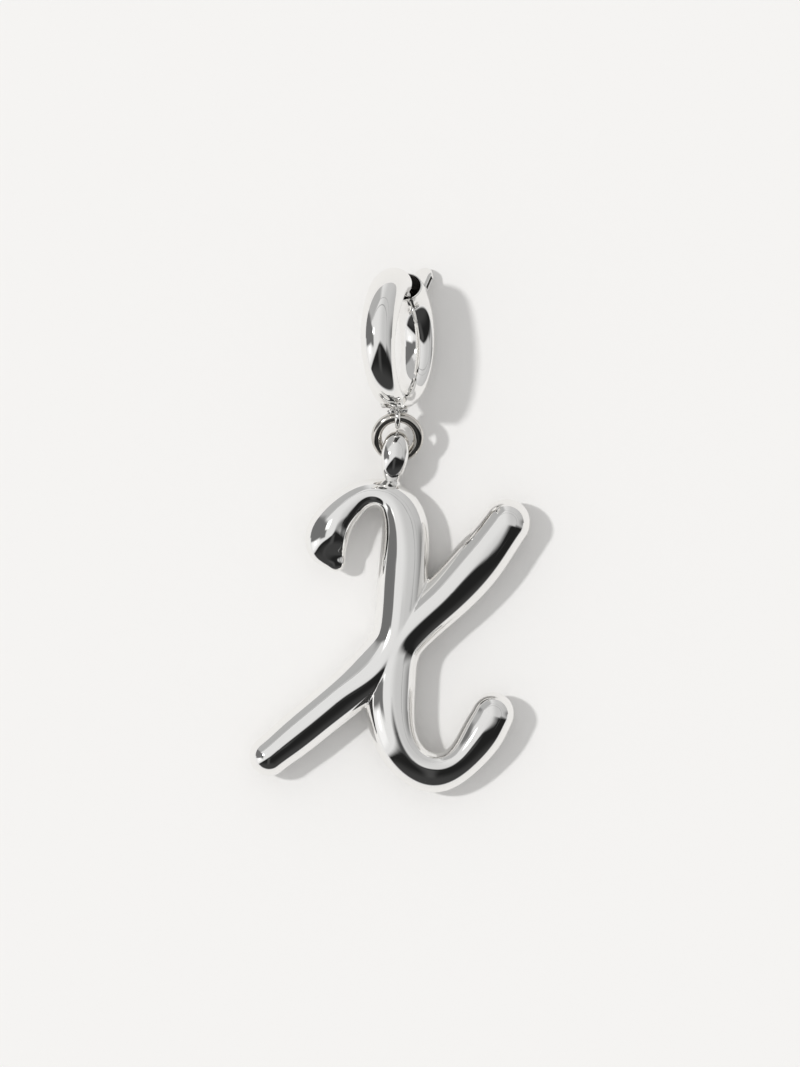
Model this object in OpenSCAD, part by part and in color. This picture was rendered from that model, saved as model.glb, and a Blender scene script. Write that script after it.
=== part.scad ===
// Initial pendant: a puffed script letter on a jump ring, with a hinged clip ring
// Lies on its back with +Y from the letter's foot to the clip, +Z up, origin under the middle

/* [Letter] */
// Height of the letter
letter_h = 28; // [25:0.5:31]
// Width of a full stroke
stroke_w = 4.6; // [4:0.1:5]
// Share of a stroke's thickness that follows its width, the rest stays the same
follow = 0.6; // [0.3:0.05:0.9]

/* [Bail] */
// Outer diameter of the loop on the letter
bail_od = 4.4; // [4.2:0.1:5]
// Wall of the loop
bail_wall = 1; // [0.8:0.05:1]
// Width of the loop at its far end
bail_far_w = 2; // [1.6:0.1:2]
// Width of the loop at its sides
bail_side_w = 2.4; // [2:0.1:2.4]
// Width of the loop where it is soldered
bail_foot_w = 1.3; // [0.9:0.1:1.6]
// Share of the wall that is the dome on the loop's outside
bail_dome = 0.8; // [0.5:0.05:0.8]
// Turn of the loop towards the right
bail_turn = 8; // [0:1:15]
// Shift of the loop's foot to the right of the crown's middle
bail_shift = 0.15; // [0:0.05:0.3]
// How deep the loop sits in the letter
bail_sink = 0.25; // [0.2:0.05:0.4]

/* [Jump ring] */
// Outer diameter of the jump ring
jump_od = 4.7; // [4.7:0.1:5.3]
// Wire of the jump ring
jump_wire = 0.95; // [0.7:0.05:0.95]
// Rise of the jump ring towards the clip
jump_rise = 20; // [18:1:22]
// Place of its near wire in the letter's loop, from the loop's middle towards the clip
wire_along = 0.25; // [0.2:0.05:0.3]
// Height of that wire over the loop's middle
wire_up = 0.1; // [0:0.05:0.15]

/* [Clip ring] */
// Length of the clip ring, from its top to its foot
clip_l = 12.7; // [12:0.1:14]
// Depth of the clip ring, from its resting side to its upper side
clip_d = 11.9; // [11.4:0.1:12.6]
// Thickness at the top
top_t = 2.8; // [2.4:0.1:3]
// Thickness at the sides
side_t = 2.1; // [1.8:0.1:2.3]
// Thickness at the foot
foot_t = 1.45; // [1.3:0.05:1.6]
// Width of the band at the top
top_w = 3.4; // [3:0.1:3.6]
// Width of the band at the sides
side_w = 3.2; // [2.9:0.1:3.4]
// Width of the band at the foot
foot_w = 2.6; // [2.4:0.1:2.8]
// Lean of the standing ring from upright
lean = 22; // [14:1:24]

/* [Clip loop] */
// Wire of the loop under the clip ring
loop_wire = 0.45; // [0.4:0.05:0.5]
// Clearance round the jump ring inside this loop
loop_gap = 0.16; // [0.1:0.01:0.2]
// Place of this loop along the ring's axis
loop_along = -0.75; // [-0.8:0.05:-0.4]
// How deep the loop sits in the clip ring
loop_sink = 0.05; // [0.03:0.01:0.12]

/* [Gate] */
// Angle from the top of the ring to the gate's end
gate_end = 7; // [5:1:12]
// Angle from the top of the ring to the body's end
body_end = -21; // [-24:1:-18]
// Angle from the top of the ring to the hinge
hinge_at = 168; // [164:1:170]
// Radius of the hinge knuckles
knuckle_r = 0.72; // [0.65:0.01:0.76]
// Width of the gate's knuckle
knuckle_w = 0.9; // [0.8:0.05:1]
// Radius of the hinge pin
pin_r = 0.25; // [0.2:0.01:0.3]
// Running clearance round the pin
pin_gap = 0.04; // [0.03:0.01:0.06]
// Clearance of the fixed pin in the body's ears
ear_gap = 0.01; // [0.01:0.005:0.02]
// Gap between the moving parts
part_gap = 0.1; // [0.08:0.01:0.12]
// Radius of the closing peg
peg_r = 0.4; // [0.3:0.05:0.45]
// Depth of the peg in its socket
peg_depth = 0.6; // [0.5:0.1:0.8]
// Offset of the peg towards the ring's inside
peg_offset = 0.7; // [0.4:0.1:0.8]
// Place of the peg along the ring's axis
peg_along = 0.5; // [0:0.1:0.6]

/* [Thumb tab] */
// Length of the tab from the middle of the band
tab_l = 3.8; // [3.4:0.1:4]
// Width of the tab at its root
tab_root_w = 1.2; // [1:0.1:1.5]
// Width of the tab at its end
tab_end_w = 1.7; // [1.4:0.1:1.8]
// Place of the tab along the ring's axis
tab_along = 0.4; // [0:0.1:0.5]
// Thickness of the tab
tab_t = 0.55; // [0.4:0.05:0.6]

/* [Hidden] */
silver = [0.86, 0.86, 0.85];
ROUND = 48; // sides of a round cut or pin
STROKE_SIDES = 16; // points round a stroke
BAND_SIDES = 20; // points round the clip ring's band
BAND_STEPS = 24; // lengths along half of the band
BAIL_STEP = 9; // degrees between the bail's sections
CAP = [25, 50, 72, 86]; // degrees at which a stroke's round end has a section
TAPER_MAX = 0.6; // most that a stroke may narrow for its length
EVEN_SHARE = 0.94; // thickness that doesn't follow the width, as a share of a full stroke's
EASE = 0.93; // size of the band's end faces, as a share of its section
EASE_SHARE = 0.02; // part of the half ring over which its ends are eased
HINGE_SHARE = 0.75; // width of the hinge, as a share of the band's
PAST = 1.5; // reach of a cut past what it cuts, as a share of its size
TAB_ANGLE = -47; // where the thumb tab leaves the ring, from its top
TAB_SLOPE = -40; // tilt of the tab from the ring's length

// The two strokes. Columns: x and y in percent of letter_h from the crossing, width in percent of stroke_w
curl = [
    [-19.6, 23.4, 38], [-22.4, 28.5, 76], [-21.0, 35.5, 82], [-16.5, 41.2, 69],
    [ -9.5, 45.6, 56], [ -2.5, 44.4, 64], [  1.7, 38.5, 84], [  2.5, 29.0, 95],
    [  1.7, 18.0, 98], [  0.0,  0.0, 90], [ -2.0,-15.0, 98], [ -2.1,-25.0, 95],
    [  0.2,-34.5, 85], [  5.5,-41.2, 79], [ 12.0,-43.6, 78], [ 18.8,-41.2, 72],
    [ 24.0,-35.8, 79], [ 27.8,-29.9, 88], [ 30.4,-25.0, 86]
];
CROWN = 5; // the row of curl under the bail
slant = [
    [-41.8,-38.0, 69], [-33.6,-33.2, 82], [-24.6,-25.5, 89], [-14.0,-16.2, 91],
    [  0.2, -1.6, 95], [ 15.2, 12.2, 97], [ 26.5, 24.8,103], [ 34.9, 36.2, 94]
];

// Smooth curve through the rows, with a tangent from each row's neighbours
function span(rows, i) = norm([rows[i + 1].x - rows[i].x, rows[i + 1].y - rows[i].y]);
function slope(rows, i) =
    i == 0 ? (rows[1] - rows[0]) / span(rows, 0)
    : i == len(rows) - 1 ? (rows[i] - rows[i - 1]) / span(rows, i - 1)
    : (rows[i + 1] - rows[i - 1]) / (span(rows, i) + span(rows, i - 1));
function between(rows, i, f) =
    let (a = rows[i], b = rows[i + 1], d = span(rows, i), g = f * f, h = f * f * f)
    (2 * h - 3 * g + 1) * a + (h - 2 * g + f) * d * slope(rows, i)
    + (3 * g - 2 * h) * b + (h - g) * d * slope(rows, i + 1);
function path(rows, steps) =
    let (unit = [for (r = rows) [r.x * letter_h / 100, r.y * letter_h / 100, r.z * stroke_w / 200]])
    concat(
        [for (i = [0 : len(rows) - 2]) for (k = [0 : steps - 1]) between(unit, i, k / steps)],
        [unit[len(rows) - 1]]
    );

curl_path = path(curl, 3);
slant_path = path(slant, 4);
both = concat(curl_path, slant_path);

// Half thickness of a stroke of half width w
function half_t(w) = follow * w + (1 - follow) * EVEN_SHARE * stroke_w / 2;

// One closed ring of points round a stroke: back is how far it slides along, size its share of the width
function stroke_ring(p, along, side, back, size) = [
    for (k = [0 : STROKE_SIDES - 1])
        let (a = k * 360 / STROKE_SIDES, across = p.z * size * cos(a))
        [p.x + back * along.x + across * side.x, p.y + back * along.y + across * side.y,
         half_t(p.z) * size * sin(a)]
];
function heading(q, i) =
    let (a = q[max(i - 1, 0)], b = q[min(i + 1, len(q) - 1)], d = [b.x - a.x, b.y - a.y])
    [d.x / norm(d), d.y / norm(d), (b.z - a.z) / norm(d)];
function body_ring(q, i) =
    let (h = heading(q, i), taper = max(min(h.z, TAPER_MAX), -TAPER_MAX))
    stroke_ring(q[i], h, [-h.y, h.x], -q[i].z * taper, sqrt(1 - taper * taper));
function cap_ring(q, i, way, a) =
    let (h = heading(q, i), lean_in = asin(max(min(way * h.z, TAPER_MAX), -TAPER_MAX)),
         t = -lean_in + (90 + lean_in) * a / 90)
    stroke_ring(q[i], h, [-h.y, h.x], way * q[i].z * sin(t), cos(t));
function stroke_rings(q) = concat(
    [for (k = [len(CAP) - 1 : -1 : 0]) cap_ring(q, 0, -1, CAP[k])],
    [for (i = [0 : len(q) - 1]) body_ring(q, i)],
    [for (k = [0 : len(CAP) - 1]) cap_ring(q, len(q) - 1, 1, CAP[k])]
);

// Skin over rings that have the same number of points, with flat ends, or joined round if loop is true
module skin(rings, loop = false) {
    m = len(rings);
    n = len(rings[0]);
    last = loop ? m - 1 : m - 2;
    sides = [
        for (i = [0 : last]) for (k = [0 : n - 1])
            let (j = (i + 1) % m, l = (k + 1) % n, a = i * n + k, b = i * n + l, c = j * n + k, d = j * n + l)
            each [[a, c, b], [b, c, d]]
    ];
    ends = loop ? [] : [[for (k = [0 : n - 1]) k], [for (k = [n - 1 : -1 : 0]) (m - 1) * n + k]];
    polyhedron(points = [for (r = rings) each r], faces = concat(sides, ends));
}

// Value that is top at the top of a loop, side at its sides and foot at its foot
function round_value(a, top, side, foot) =
    side + (top - foot) / 2 * cos(a) + ((top + foot) / 2 - side) * cos(a) * cos(a);

// Heights: every stroke has its middle at mid_z, so the thickest one rests on the ground
mid_z = max([for (p = both) half_t(p.z)]);

// The loop soldered on the letter's crown
crown = [curl[CROWN].x * letter_h / 100, curl[CROWN].y * letter_h / 100];
crown_r = curl[CROWN].z * stroke_w / 200;
bail_r = bail_od / 2;
bail_way = [sin(bail_turn), cos(bail_turn)];
bail_reach = bail_r - bail_sink;
bail_at = [crown.x + bail_shift + bail_way.x * bail_reach, crown.y + crown_r + bail_way.y * bail_reach,
    mid_z];
function bail_ring(a) =
    let (half_w = round_value(a, bail_far_w, bail_side_w, bail_foot_w) / 2,
         edge_r = bail_r - bail_dome * bail_wall)
    [for (k = [0 : STROKE_SIDES - 1])
        let (t = k * 360 / STROKE_SIDES, share = t < 180 ? bail_dome : 1 - bail_dome,
             r = edge_r + share * bail_wall * sin(t))
        [half_w * cos(t), r * cos(a), r * sin(a)]];

// The jump ring, which passes through that loop and round its far side
jump_r = (jump_od - jump_wire) / 2;
jump_away = wire_along + jump_r * cos(jump_rise);
jump_at = bail_at + [bail_way.x * jump_away, bail_way.y * jump_away, wire_up + jump_r * sin(jump_rise)];

// The loop under the clip ring, centred on the jump ring's far wire
loop_at = jump_at + jump_r * [0, cos(jump_rise), sin(jump_rise)];
loop_hole_r = jump_wire / 2 + loop_gap;
loop_r = loop_hole_r + loop_wire;

// The clip ring stands on its side: ring axes are along, up and out, and it leans about Y
clip_z = (clip_d - side_t) / 2 * cos(lean)
    + norm([side_w / 2 * sin(lean), side_t / 2 * cos(lean)]);
loop_out = (loop_at.z - clip_z - loop_along * sin(lean)) / cos(lean);
loop_drop = foot_t / 2 * (1 - sqrt(1 - pow(2 * loop_along / foot_w, 2))); // the band's curve under the loop
loop_from = loop_r - loop_drop - loop_sink;
loop_up = -(clip_l / 2 + loop_from) * sqrt(1 - pow(loop_out / (clip_d / 2 + loop_from), 2));
clip_at = [loop_at.x - loop_along * cos(lean) + loop_out * sin(lean), loop_at.y - loop_up, clip_z];

function clip_t(a) = round_value(a, top_t, side_t, foot_t);
function clip_w(a) = round_value(a, top_w, side_w, foot_w);
function clip_mid(a) = [0, (clip_l - clip_t(a)) / 2 * cos(a), (clip_d - clip_t(a)) / 2 * sin(a)];
function clip_ring(a, size = 1) = [
    for (k = [0 : BAND_SIDES - 1])
        let (t = k * 360 / BAND_SIDES, r = size * clip_t(a) / 2 * sin(t))
        clip_mid(a) + [size * clip_w(a) / 2 * cos(t), r * cos(a), r * sin(a)]
];

// The hinge
hinge_mid = clip_mid(hinge_at);
knuckle_clear = knuckle_r + part_gap;
hinge_w = HINGE_SHARE * clip_w(hinge_at);
slot_w = knuckle_w + 2 * part_gap;

// The peg that closes the gate lies along the path of its swing
body_tip = clip_mid(body_end);
peg_to = body_tip - peg_offset * body_tip / norm(body_tip);
swing = (peg_to - hinge_mid) / norm(peg_to - hinge_mid);
peg_turn = atan2(swing.z, swing.y);
peg_l = norm(clip_mid(gate_end) - body_tip) + 2 * peg_depth;

// Puts the origin under the middle of the whole pendant
low_x = min([for (p = both) p.x - p.z]);
high_x = max([for (p = both) p.x + p.z]);
low_y = min([for (p = both) p.y - p.z]);
tab_top = clip_mid(TAB_ANGLE).y + tab_l * cos(TAB_SLOPE) + tab_t / 2 * sin(-TAB_SLOPE);
high_y = clip_at.y + tab_top;
centre = [-(low_x + high_x) / 2, -(low_y + high_y) / 2, 0];

// Ring axes to ground axes
module in_clip() translate(centre + clip_at) rotate([0, -lean, 0]) children();

module torus(r, wire) rotate_extrude($fn = ROUND) translate([r, 0]) circle(r = wire / 2, $fn = 24);

// Cylinder along the ring's axis at the hinge
module hinge_cyl(r, w, at = 0) translate(hinge_mid + [at - w / 2, 0, 0]) rotate([0, 90, 0])
    cylinder(r = r, h = w, $fn = ROUND);

// Peg or socket, from its depth in the body's end towards the gate
module peg(r, depth) translate(peg_to + [peg_along, 0, 0]) rotate([peg_turn, 0, 0])
    translate([0, 0, -depth]) cylinder(r = r, h = peg_l, $fn = ROUND);

module letter_stroke(q) translate([0, 0, mid_z]) skin(stroke_rings(q));

module bail() translate(bail_at) rotate([0, 0, -bail_turn]) 
    skin([for (a = [0 : BAIL_STEP : 360 - BAIL_STEP]) bail_ring(a)], true);

module initial() color(silver) translate(centre) union() {
    letter_stroke(curl_path);
    letter_stroke(slant_path);
    bail();
}

module jump_ring() color(silver) translate(centre + jump_at) rotate([jump_rise, 0, 0])
    torus(jump_r, jump_wire);

module thumb_tab() translate(clip_mid(TAB_ANGLE) + [tab_along, 0, 0]) rotate([TAB_SLOPE, 0, 0])
    translate([0, 0, -tab_t / 2]) hull() {
        cylinder(d = tab_root_w, h = tab_t, $fn = 32);
        translate([0, tab_l - tab_end_w / 2, 0]) cylinder(d = tab_end_w, h = tab_t, $fn = 32);
    }

// Half of the ring, swept from angle a to angle b, its ends a little rounded
module band(a, b, ease_a, ease_b) skin(concat(
    [clip_ring(a, ease_a)],
    [for (k = [0 : BAND_STEPS])
        clip_ring(a + (b - a) * (EASE_SHARE + (1 - 2 * EASE_SHARE) * k / BAND_STEPS))],
    [clip_ring(b, ease_b)]
));

module clip_body() color(silver) {
    in_clip() difference() {
        union() {
            difference() {
                union() {
                    band(hinge_at - 360, body_end, 1, EASE);
                    hinge_cyl(knuckle_r, hinge_w);
                }
                hinge_cyl(knuckle_clear, slot_w);
            }
            thumb_tab();
        }
        hinge_cyl(pin_r + ear_gap, PAST * foot_w);
        peg(peg_r + part_gap, peg_depth + part_gap);
    }
    translate(centre + loop_at) rotate([0, 90, 0]) torus((loop_hole_r + loop_r) / 2, loop_wire);
}

module clip_gate() color(silver) in_clip() difference() {
    union() {
        difference() {
            band(gate_end, hinge_at, EASE, 1);
            difference() {
                hinge_cyl(knuckle_clear, PAST * foot_w);
                hinge_cyl(PAST * knuckle_clear, knuckle_w);
            }
        }
        hinge_cyl(knuckle_r, knuckle_w);
        peg(peg_r, peg_depth);
    }
    hinge_cyl(pin_r + pin_gap, PAST * foot_w);
}

module hinge_pin() color(silver) in_clip() hinge_cyl(pin_r, hinge_w - part_gap);

initial();
jump_ring();
clip_body();
clip_gate();
hinge_pin();
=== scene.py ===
# %% [markdown]
# An initial pendant in polished silver lies on a pale table and is seen from straight above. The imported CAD
# model is the fixed frame. It already says where each piece is, in metres, with +Y from the letter's foot to
# the clip ring and +Z up. A mirror finish shows every facet of a CAD mesh, so each shiny piece is worked out
# again here as a fine smooth surface in the same place, and the CAD solid stays for the motion.

# %% Load the frame
import math
import bpy
import numpy as np
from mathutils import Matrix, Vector


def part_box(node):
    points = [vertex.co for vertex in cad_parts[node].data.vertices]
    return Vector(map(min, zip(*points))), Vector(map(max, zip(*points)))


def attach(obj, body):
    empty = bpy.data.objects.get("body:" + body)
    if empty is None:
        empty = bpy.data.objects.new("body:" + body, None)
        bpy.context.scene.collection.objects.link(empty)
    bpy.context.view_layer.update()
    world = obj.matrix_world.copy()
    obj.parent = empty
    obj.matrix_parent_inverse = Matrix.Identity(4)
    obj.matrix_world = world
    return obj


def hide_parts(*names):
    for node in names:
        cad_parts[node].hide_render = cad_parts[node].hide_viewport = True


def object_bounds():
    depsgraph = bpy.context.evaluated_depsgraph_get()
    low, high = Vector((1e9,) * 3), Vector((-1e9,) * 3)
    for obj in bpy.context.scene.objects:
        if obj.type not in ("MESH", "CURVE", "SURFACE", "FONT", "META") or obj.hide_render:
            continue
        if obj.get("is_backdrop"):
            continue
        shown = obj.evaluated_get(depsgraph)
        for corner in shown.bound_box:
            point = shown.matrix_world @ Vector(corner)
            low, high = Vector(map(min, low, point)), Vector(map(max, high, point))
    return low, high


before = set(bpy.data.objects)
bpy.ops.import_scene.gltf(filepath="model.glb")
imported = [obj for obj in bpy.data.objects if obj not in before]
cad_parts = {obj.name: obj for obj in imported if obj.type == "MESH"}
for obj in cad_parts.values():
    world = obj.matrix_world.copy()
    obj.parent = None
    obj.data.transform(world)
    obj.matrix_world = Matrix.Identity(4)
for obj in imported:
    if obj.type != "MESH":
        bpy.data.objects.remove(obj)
cad_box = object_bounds()
MM = 0.001
PENDANT, GATE = "pendant", "gate"

# %% [markdown]
# The camera comes first. The photograph is taken from straight above with no visible tilt, so the camera
# looks down from half a metre, and its lens is set by how much of the table fits across the picture.

# %% Camera
PHOTO_W, PHOTO_H = 800, 1067
MM_PER_PX = 0.09
CAMERA_UP, SENSOR = 500.0, 24.0
PHOTO_ORIGIN = (390.0, 529.6)  # the pixel that is the frame's origin
view_mid = ((PHOTO_W / 2 - PHOTO_ORIGIN[0]) * MM_PER_PX, (PHOTO_ORIGIN[1] - PHOTO_H / 2) * MM_PER_PX)
camera_data = bpy.data.cameras.new("camera")
camera_data.sensor_fit = "VERTICAL"
camera_data.sensor_height = SENSOR
camera_data.lens = SENSOR * CAMERA_UP / (PHOTO_H * MM_PER_PX)
camera = bpy.data.objects.new("camera", camera_data)
camera.location = (view_mid[0] * MM, view_mid[1] * MM, CAMERA_UP * MM)
bpy.context.scene.collection.objects.link(camera)
bpy.context.scene.camera = camera
bpy.context.scene.view_settings.view_transform = "Standard"
print("camera lens", round(camera_data.lens, 1), "mm, over", [round(v, 2) for v in view_mid], "mm")

# %% [markdown]
# Two helpers come back all the time. One puts a list of points and faces into Blender as a smooth mesh. The
# other joins a grid of points, a function of two parameters, into quads, closed one or both ways round.

# %% Mesh helpers
def piece_from(name, points_mm, faces, body, material, stands_for=()):
    """A smooth mesh object at the origin with its place in its points, riding on a body of the frame."""
    mesh = bpy.data.meshes.new(name)
    mesh.from_pydata((np.asarray(points_mm) * MM).tolist(), [], [list(f) for f in faces])
    mesh.validate()
    mesh.polygons.foreach_set("use_smooth", np.ones(len(mesh.polygons), bool))
    piece = bpy.data.objects.new(name, mesh)
    bpy.context.scene.collection.objects.link(piece)
    mesh.materials.append(material)
    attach(piece, body)
    if stands_for:
        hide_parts(*stands_for)
    print(name, len(mesh.vertices), "points", sum(len(f) - 2 for f in faces), "triangles")
    return piece


def grid_quads(rows, columns, close_rows, close_columns, start=0):
    """Quads between neighbours of a grid whose point (i, j) has the number i * columns + j."""
    i = np.arange(rows if close_rows else rows - 1)
    j = np.arange(columns if close_columns else columns - 1)
    i, j = [v.ravel() for v in np.meshgrid(i, j, indexing="ij")]
    i2, j2 = (i + 1) % rows, (j + 1) % columns
    quads = np.stack([i * columns + j, i2 * columns + j, i2 * columns + j2, i * columns + j2], 1)
    return (quads + start).tolist()


# %% [markdown]
# Polished silver is almost all reflection, so its finish is a metal with a little haze. Fine wiping marks
# and faint clouding change the roughness over the surface by a small amount, which keeps the mirror from
# looking like computer glass. The effect is a node group, because every silver piece uses it with its own
# values.

# %% Node group for polished silver
NOISE_LOW, NOISE_HIGH = 0.1, 0.45
MARK_STRENGTH, MARK_DEPTH = 0.05, 0.00002


def build_polish_group():
    """Noise on Object coordinates, slow for the clouds and fine for the marks. The clouds mix the colours,
    clouds times marks sets the roughness between its two ends, and marks times bump is the height."""
    group = bpy.data.node_groups.new("silver_polish", "ShaderNodeTree")
    for name, kind, value in (("Clean Colour", "NodeSocketColor", (0.95, 0.945, 0.935, 1)),
                              ("Cloud Colour", "NodeSocketColor", (0.9, 0.89, 0.87, 1)),
                              ("Cloud Size", "NodeSocketFloat", 120.0),
                              ("Mark Size", "NodeSocketFloat", 1500.0),
                              ("Haze Low", "NodeSocketFloat", 0.02), ("Haze High", "NodeSocketFloat", 0.05),
                              ("Bump", "NodeSocketFloat", 0.02)):
        socket = group.interface.new_socket(name, in_out="INPUT", socket_type=kind)
        socket.default_value = value
    for name, kind in (("Colour", "NodeSocketColor"), ("Roughness", "NodeSocketFloat"),
                       ("Height", "NodeSocketFloat")):
        group.interface.new_socket(name, in_out="OUTPUT", socket_type=kind)
    nodes, links = group.nodes, group.links
    given, out = nodes.new("NodeGroupInput"), nodes.new("NodeGroupOutput")
    place = nodes.new("ShaderNodeTexCoord")
    cloud, marks = nodes.new("ShaderNodeTexNoise"), nodes.new("ShaderNodeTexNoise")
    cloud.inputs["Detail"].default_value = 3.0
    marks.inputs["Detail"].default_value = 2.0
    links.new(place.outputs["Object"], cloud.inputs["Vector"])
    links.new(place.outputs["Object"], marks.inputs["Vector"])
    links.new(given.outputs["Cloud Size"], cloud.inputs["Scale"])
    links.new(given.outputs["Mark Size"], marks.inputs["Scale"])
    tone = nodes.new("ShaderNodeMix")
    tone.data_type = "RGBA"
    links.new(cloud.outputs["Fac"], tone.inputs["Factor"])
    links.new(given.outputs["Clean Colour"], tone.inputs["A"])
    links.new(given.outputs["Cloud Colour"], tone.inputs["B"])
    links.new(tone.outputs["Result"], out.inputs["Colour"])
    both = nodes.new("ShaderNodeMath")
    both.operation = "MULTIPLY"
    links.new(cloud.outputs["Fac"], both.inputs[0])
    links.new(marks.outputs["Fac"], both.inputs[1])
    haze = nodes.new("ShaderNodeMapRange")
    haze.inputs["From Min"].default_value = NOISE_LOW
    haze.inputs["From Max"].default_value = NOISE_HIGH
    links.new(both.outputs[0], haze.inputs["Value"])
    links.new(given.outputs["Haze Low"], haze.inputs["To Min"])
    links.new(given.outputs["Haze High"], haze.inputs["To Max"])
    links.new(haze.outputs["Result"], out.inputs["Roughness"])
    height = nodes.new("ShaderNodeMath")
    height.operation = "MULTIPLY"
    links.new(marks.outputs["Fac"], height.inputs[0])
    links.new(given.outputs["Bump"], height.inputs[1])
    links.new(height.outputs[0], out.inputs["Height"])
    return group


polish_group = build_polish_group()
print("group", polish_group.name, "with", len(polish_group.nodes), "nodes")


# %% The silvers
def silver(name, **values):
    """A polished silver material with its own clouding, haze and marks."""
    material = bpy.data.materials.new(name)
    material.use_nodes = True
    nodes, links = material.node_tree.nodes, material.node_tree.links
    shader = nodes["Principled BSDF"]
    shader.inputs["Metallic"].default_value = 1.0
    polish = nodes.new("ShaderNodeGroup")
    polish.node_tree = polish_group
    for socket, value in values.items():
        polish.inputs[socket.replace("_", " ")].default_value = value
    bump = nodes.new("ShaderNodeBump")
    bump.inputs["Strength"].default_value = MARK_STRENGTH
    bump.inputs["Distance"].default_value = MARK_DEPTH
    links.new(polish.outputs["Colour"], shader.inputs["Base Color"])
    links.new(polish.outputs["Roughness"], shader.inputs["Roughness"])
    links.new(polish.outputs["Height"], bump.inputs["Height"])
    links.new(bump.outputs["Normal"], shader.inputs["Normal"])
    return material


letter_silver = silver("letter_silver", Cloud_Size=110.0, Haze_Low=0.025, Haze_High=0.06)
clip_silver = silver("clip_silver", Cloud_Size=160.0, Haze_Low=0.02, Haze_High=0.05)
wire_silver = silver("wire_silver", Clean_Colour=(0.82, 0.80, 0.77, 1), Cloud_Colour=(0.5, 0.47, 0.43, 1),
                     Cloud_Size=700.0, Haze_Low=0.06, Haze_High=0.14)
# painted shade: a near-black finish for the cup in the ring's hollow end and for the rod in the tab's nail
# groove
painted_shade_dark = silver("painted_shade_dark", Clean_Colour=(0.012, 0.011, 0.010, 1),
                     Cloud_Colour=(0.03, 0.027, 0.024, 1), Cloud_Size=900.0, Haze_Low=0.35, Haze_High=0.55)
print("materials", [m.name for m in bpy.data.materials])

# %% [markdown]
# The letter is two puffed strokes, thick where the pen would press. At the crossing the metal doesn't look
# like two straight bars. The upper stem flows round the left corner into the lower arm, the right arm flows
# into the lower stem, and a fine crease between the two joins the sharp crotches. So the smooth letter is
# two bent strokes that touch back to back. Most rows below are the ones that the CAD solid follows. The
# three rows of each stroke at the crossing are its own, and so are the curl's tip, which is blunter so that
# it doesn't pinch into a beak, and the last three rows of the lower arm, which keeps its width to its end.

# %% Tables of the two strokes
LETTER_H, STROKE_W = 28.0, 4.6
LEFT_ROWS = np.array([  # x and y in hundredths of the letter's height, width in hundredths of a full stroke's
    [-19.9, 23.9, 44], [-22.4, 28.5, 76], [-21.0, 35.5, 82], [-16.5, 41.2, 69],
    [-9.5, 45.6, 56], [-2.5, 44.4, 64], [1.7, 38.5, 84], [2.5, 29.0, 95],
    [1.7, 18.0, 98], [0.3, 3.9, 93], [-1.1, -1.6, 92], [-4.3, -6.2, 92],
    [-14.0, -16.2, 91], [-24.85, -25.2, 87], [-34.0, -32.7, 84], [-41.0, -38.3, 78]])
RIGHT_ROWS = np.array([
    [34.9, 36.2, 94], [26.5, 24.8, 103], [15.2, 12.2, 97], [4.2, 2.1, 95],
    [0.7, -2.5, 94], [-1.1, -8.1, 94], [-2.0, -15.0, 98], [-2.1, -25.0, 95],
    [0.2, -34.5, 85], [5.5, -41.2, 79], [12.0, -43.6, 78], [18.8, -41.2, 72],
    [24.0, -35.8, 79], [27.8, -29.9, 88], [30.4, -25.0, 86]])
TIP_ROW, CROWN_ROW = 0, 5
TO_MM = np.array([LETTER_H / 100, LETTER_H / 100, STROKE_W / 200])
print("rows", len(LEFT_ROWS), "and", len(RIGHT_ROWS))

# %% [markdown]
# A smooth line goes through the rows, and its bend changes evenly along it, because a kink in the line would
# show at once as a kink in the reflections.

# %% Smooth line through rows
FOLLOW, FULL_SHARE = 0.6, 0.94


def half_thickness(half_width):
    """Follows the stroke's half width by a share, and keeps the rest at nearly the full stroke's."""
    return FOLLOW * half_width + (1 - FOLLOW) * FULL_SHARE * STROKE_W / 2


def spline_bends(at, rows, flat_ends):
    """Second derivatives of a cubic spline at its rows: zero at both ends, or a level start and end."""
    gap, n = np.diff(at), len(at)
    i = np.arange(1, n - 1)
    rise = np.diff(rows, axis=0) / gap[:, None]
    system, right = np.eye(n), np.zeros(rows.shape)
    system[i, i - 1], system[i, i], system[i, i + 1] = gap[:-1], 2 * (gap[:-1] + gap[1:]), gap[1:]
    right[1:-1] = 6 * np.diff(rise, axis=0)
    if flat_ends:
        system[0, :2], right[0] = (2 * gap[0], gap[0]), 6 * rise[0]
        system[-1, -2:], right[-1] = (gap[-1], 2 * gap[-1]), -6 * rise[-1]
    return np.linalg.solve(system, right)


def line_through(rows):
    """Cubic spline over the rows' chord length: on each span the second derivative runs straight from one
    row's value to the next. The place ends straight, and the width ends level. Returns value(s, order) and
    the whole length."""
    gap = np.linalg.norm(np.diff(rows[:, :2], axis=0), axis=1)
    at = np.concatenate([[0.0], np.cumsum(gap)])
    bend = np.hstack([spline_bends(at, rows[:, :2], False), spline_bends(at, rows[:, 2:], True)])

    def value(s, order=0):
        k = np.clip(np.searchsorted(at, s, side="right") - 1, 0, len(at) - 2)
        h = gap[k][:, None]
        u = (s[:, None] - at[k][:, None]) / h
        a, b, p, q = rows[k], rows[k + 1], bend[k], bend[k + 1]
        if order == 0:
            return (1 - u) * a + u * b + h * h / 6 * (((1 - u) ** 3 - (1 - u)) * p + (u ** 3 - u) * q)
        if order == 1:
            return (b - a) / h + h / 6 * ((1 - 3 * (1 - u) ** 2) * p + (3 * u * u - 1) * q)
        return (1 - u) * p + u * q

    return value, at[-1]


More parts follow.
